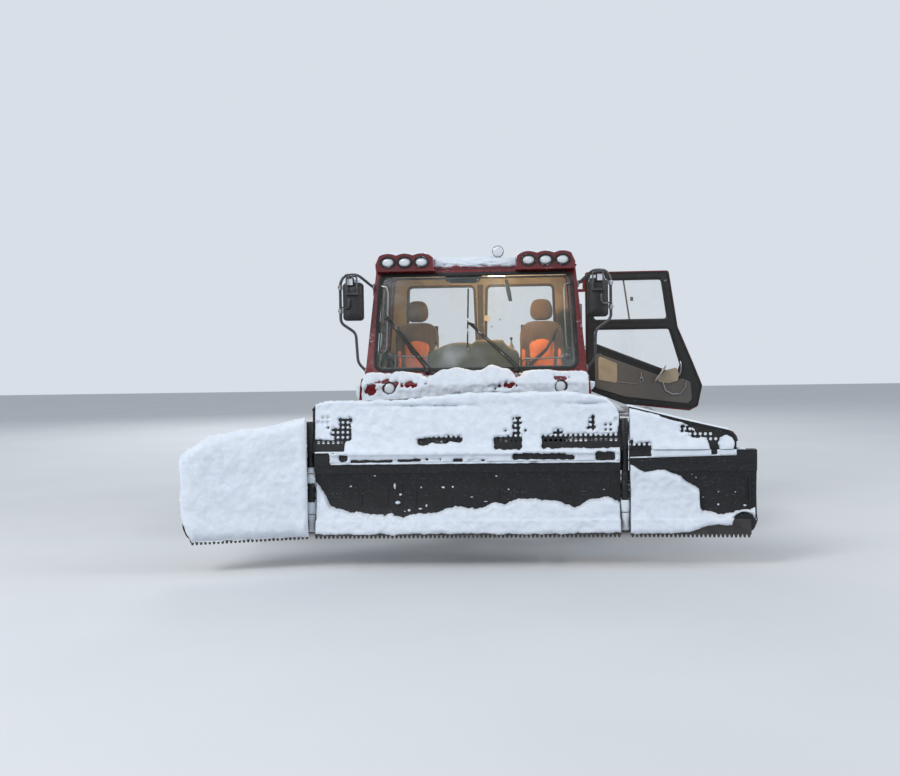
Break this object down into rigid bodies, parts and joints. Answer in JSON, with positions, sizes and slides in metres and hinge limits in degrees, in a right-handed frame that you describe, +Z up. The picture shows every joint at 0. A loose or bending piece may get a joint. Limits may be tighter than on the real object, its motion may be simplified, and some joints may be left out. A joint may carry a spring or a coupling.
{
  "type": "snowcat groomer",
  "caption": "Tracked snow groomer with a glazed cab, folding front blade, tipping load platform and rear tiller, all on real joints",
  "frame": {"origin": "bottom centre of the whole machine's box, on the ground under the tracks", "axes": "+Z up, -Y towards the blade at the front, +Y towards the tiller, +X towards the machine's left side"},
  "size_m": [4.6078, 8.5645, 2.7831],
  "materials": {
    "frame_steel": "black paint, worn and frosted",
    "wheel_rubber": "rubber-tyred road wheels",
    "sprocket": "moulded drive ring on a steel hub",
    "track": "aluminium bars on rubber belts",
    "deck": "tread plate, dark paint",
    "floor_mat": "ribbed rubber mat",
    "red_paint": "dark red gloss paint, snow-dusted",
    "glass": "clear laminated glass",
    "lamp_glass": "clear lamp lens",
    "red_lens": "red lens",
    "tube": "frosted steel tube",
    "mirror_shell": "grained black plastic",
    "dash": "soft-touch olive plastic",
    "upholstery": "orange and brown seat cloth",
    "engine": "plain block",
    "tank": "black painted tank",
    "exhaust": "heat-stained steel",
    "blade_black": "black paint, scuffed, packed with snow",
    "tine_steel": "worn tool steel",
    "cylinder_black": "black cylinder barrel",
    "rod_chrome": "hard chrome rod"
  },
  "bodies": {
    "chassis": {"main_frame": "frame_steel", "bulkheads": "frame_steel", "wheel_axles": "frame_steel", "road_wheels": "wheel_rubber", "idler_wheels": "wheel_rubber", "drive_sprockets": "sprocket", "track_left": "track", "track_right": "track", "step_decks": "deck", "cab_floor": "floor_mat", "cab_nose": "red_paint", "cab_frame": "red_paint", "cab_rear_wall": "red_paint", "cab_roof": "red_paint", "windscreen": "glass", "rear_windows": "glass", "lamp_pods": "red_paint", "roof_lamps": "lamp_glass", "headlamps": "lamp_glass", "mirror_arms": "tube", "mirrors": "mirror_shell", "wipers": "mirror_shell", "dashboard": "dash", "seats": "upholstery", "engine_block": "engine", "engine_panels": "red_paint", "fuel_tank": "tank", "exhaust": "exhaust", "tail_lamps": "red_lens"},
    "door_left": {"door_left": "red_paint", "door_left_glass": "glass"},
    "door_right": {"door_right": "red_paint", "door_right_glass": "glass"},
    "platform": {"load_platform": "deck", "platform_rails": "tube"},
    "push_frame": {"push_frame": "frame_steel"},
    "carrier": {"swing_carrier": "frame_steel"},
    "blade": {"blade_centre": "blade_black", "blade_guard": "blade_black"},
    "wing_left": {"blade_wing_left": "blade_black", "wing_guard_left": "blade_black"},
    "wing_right": {"blade_wing_right": "blade_black", "wing_guard_right": "blade_black"},
    "tiller": {"tiller_frame": "frame_steel", "tiller_housing": "red_paint"},
    "rotor": {"tiller_rotor": "tine_steel"},
    "lift_barrels": {"lift_barrels": "cylinder_black"},
    "lift_rods": {"lift_rods": "rod_chrome"},
    "swing_barrel_left": {"swing_barrel_left": "cylinder_black"},
    "swing_rod_left": {"swing_rod_left": "rod_chrome"},
    "swing_barrel_right": {"swing_barrel_right": "cylinder_black"},
    "swing_rod_right": {"swing_rod_right": "rod_chrome"},
    "tilt_barrel": {"tilt_barrel": "cylinder_black"},
    "tilt_rod": {"tilt_rod": "rod_chrome"},
    "wing_barrel_left": {"wing_barrel_left": "cylinder_black"},
    "wing_rod_left": {"wing_rod_left": "rod_chrome"},
    "wing_barrel_right": {"wing_barrel_right": "cylinder_black"},
    "wing_rod_right": {"wing_rod_right": "rod_chrome"},
    "tiller_barrel": {"tiller_barrel": "cylinder_black"},
    "tiller_rod": {"tiller_rod": "rod_chrome"}
  },
  "joints": [
    {"name": "door_left_hinge", "type": "hinge", "parent": "chassis", "child": "door_left", "pos_m": [1.122, -0.68, 1.8], "axis": [0, 0, 1], "range_deg": [-88, 15]},
    {"name": "door_right_hinge", "type": "hinge", "parent": "chassis", "child": "door_right", "pos_m": [-1.122, -0.68, 1.8], "axis": [0, 0, -1], "range_deg": [0, 103]},
    {"name": "platform_hinge", "type": "hinge", "parent": "chassis", "child": "platform", "pos_m": [0, 2.28, 1.459], "axis": [-1, 0, 0], "range_deg": [0, 45]},
    {"name": "blade_lift", "type": "hinge", "parent": "chassis", "child": "push_frame", "pos_m": [0, -2.48, 0.6], "axis": [-1, 0, 0], "range_deg": [-17, 24]},
    {"name": "blade_swing", "type": "hinge", "parent": "push_frame", "child": "carrier", "pos_m": [0, -3.35, 0.6], "axis": [0, 0, 1], "range_deg": [-18, 18]},
    {"name": "blade_tilt", "type": "hinge", "parent": "carrier", "child": "blade", "pos_m": [0, -3.6, 0.6], "axis": [0, 1, 0], "range_deg": [-8, 8]},
    {"name": "wing_left_fold", "type": "hinge", "parent": "blade", "child": "wing_left", "pos_m": [1.268, -3.905, 0.6], "axis": [0, 0, -1], "range_deg": [-13, 37]},
    {"name": "wing_right_fold", "type": "hinge", "parent": "blade", "child": "wing_right", "pos_m": [-1.268, -3.905, 0.6], "axis": [0, 0, 1], "range_deg": [-28, 22]},
    {"name": "tiller_lift", "type": "hinge", "parent": "chassis", "child": "tiller", "pos_m": [0, 2.42, 0.56], "axis": [1, 0, 0], "range_deg": [-3, 28]},
    {"name": "rotor_spin", "type": "hinge", "parent": "tiller", "child": "rotor", "pos_m": [0, 3.64, 0.275], "axis": [1, 0, 0], "continuous": true},
    {"name": "lift_cylinder_pin", "type": "hinge", "parent": "chassis", "child": "lift_barrels", "pos_m": [0.3, -2.34, 0.98], "axis": [1, 0, 0], "range_deg": [-17.66, 12.51]},
    {"name": "lift_cylinder_slide", "type": "slide", "parent": "lift_barrels", "child": "lift_rods", "axis": [0, -0.968, -0.251], "range_m": [-0.14313, 0.10142]},
    {"name": "swing_cylinder_left_pin", "type": "hinge", "parent": "push_frame", "child": "swing_barrel_left", "pos_m": [0.64, -2.64, 0.6], "axis": [0, 0, 1], "range_deg": [-2.42, 2.42]},
    {"name": "swing_cylinder_left_slide", "type": "slide", "parent": "swing_barrel_left", "child": "swing_rod_left", "axis": [-0.0905, -0.9959, 0], "range_m": [-0.17967, 0.17967]},
    {"name": "swing_cylinder_right_pin", "type": "hinge", "parent": "push_frame", "child": "swing_barrel_right", "pos_m": [-0.64, -2.64, 0.6], "axis": [0, 0, 1], "range_deg": [-2.42, 2.42]},
    {"name": "swing_cylinder_right_slide", "type": "slide", "parent": "swing_barrel_right", "child": "swing_rod_right", "axis": [0.0905, -0.9959, 0], "range_m": [-0.17959, 0.17959]},
    {"name": "tilt_cylinder_pin", "type": "hinge", "parent": "carrier", "child": "tilt_barrel", "pos_m": [-0.42, -3.59, 0.86], "axis": [0, 1, 0], "range_deg": [-2.63, 2.63]},
    {"name": "tilt_cylinder_slide", "type": "slide", "parent": "tilt_barrel", "child": "tilt_rod", "axis": [0.9995, 0, 0.0328], "range_m": [-0.03835, 0.03835]},
    {"name": "wing_cylinder_left_pin", "type": "hinge", "parent": "blade", "child": "wing_barrel_left", "pos_m": [0.7, -3.65, 0.605], "axis": [0, 0, 1], "range_deg": [-9.93, 3.5]},
    {"name": "wing_cylinder_left_slide", "type": "slide", "parent": "wing_barrel_left", "child": "wing_rod_left", "axis": [0.999, -0.0457, 0], "range_m": [-0.04485, 0.12747]},
    {"name": "wing_cylinder_right_pin", "type": "hinge", "parent": "blade", "child": "wing_barrel_right", "pos_m": [-0.7, -3.65, 0.605], "axis": [0, 0, 1], "range_deg": [-7.57, 5.95]},
    {"name": "wing_cylinder_right_slide", "type": "slide", "parent": "wing_barrel_right", "child": "wing_rod_right", "axis": [-0.9936, -0.1127, 0], "range_m": [-0.09682, 0.07609]},
    {"name": "tiller_cylinder_pin", "type": "hinge", "parent": "chassis", "child": "tiller_barrel", "pos_m": [0, 2.4, 1], "axis": [1, 0, 0], "range_deg": [-2.55, 23.71]},
    {"name": "tiller_cylinder_slide", "type": "slide", "parent": "tiller_barrel", "child": "tiller_rod", "axis": [0, 0.9285, -0.3714], "range_m": [-0.2085, 0.02243]}
  ],
  "couplings": [
    {"joint": "lift_cylinder_pin", "follows": "blade_lift", "ratio": -0.73541},
    {"joint": "lift_cylinder_slide", "follows": "blade_lift", "m_per_rad": -0.34147},
    {"joint": "swing_cylinder_left_pin", "follows": "blade_swing", "ratio": 0.13411},
    {"joint": "swing_cylinder_left_slide", "follows": "blade_swing", "m_per_rad": -0.57159},
    {"joint": "swing_cylinder_right_pin", "follows": "blade_swing", "ratio": 0.13404},
    {"joint": "swing_cylinder_right_slide", "follows": "blade_swing", "m_per_rad": 0.57133},
    {"joint": "tilt_cylinder_pin", "follows": "blade_tilt", "ratio": 0.32733},
    {"joint": "tilt_cylinder_slide", "follows": "blade_tilt", "m_per_rad": 0.27393},
    {"joint": "wing_cylinder_left_pin", "follows": "wing_left_fold", "ratio": -0.26804},
    {"joint": "wing_cylinder_left_slide", "follows": "wing_left_fold", "m_per_rad": 0.19724},
    {"joint": "wing_cylinder_right_pin", "follows": "wing_right_fold", "ratio": 0.26988},
    {"joint": "wing_cylinder_right_slide", "follows": "wing_right_fold", "m_per_rad": 0.19792},
    {"joint": "tiller_cylinder_pin", "follows": "tiller_lift", "ratio": 0.84658},
    {"joint": "tiller_cylinder_slide", "follows": "tiller_lift", "m_per_rad": -0.42645}
  ]
}
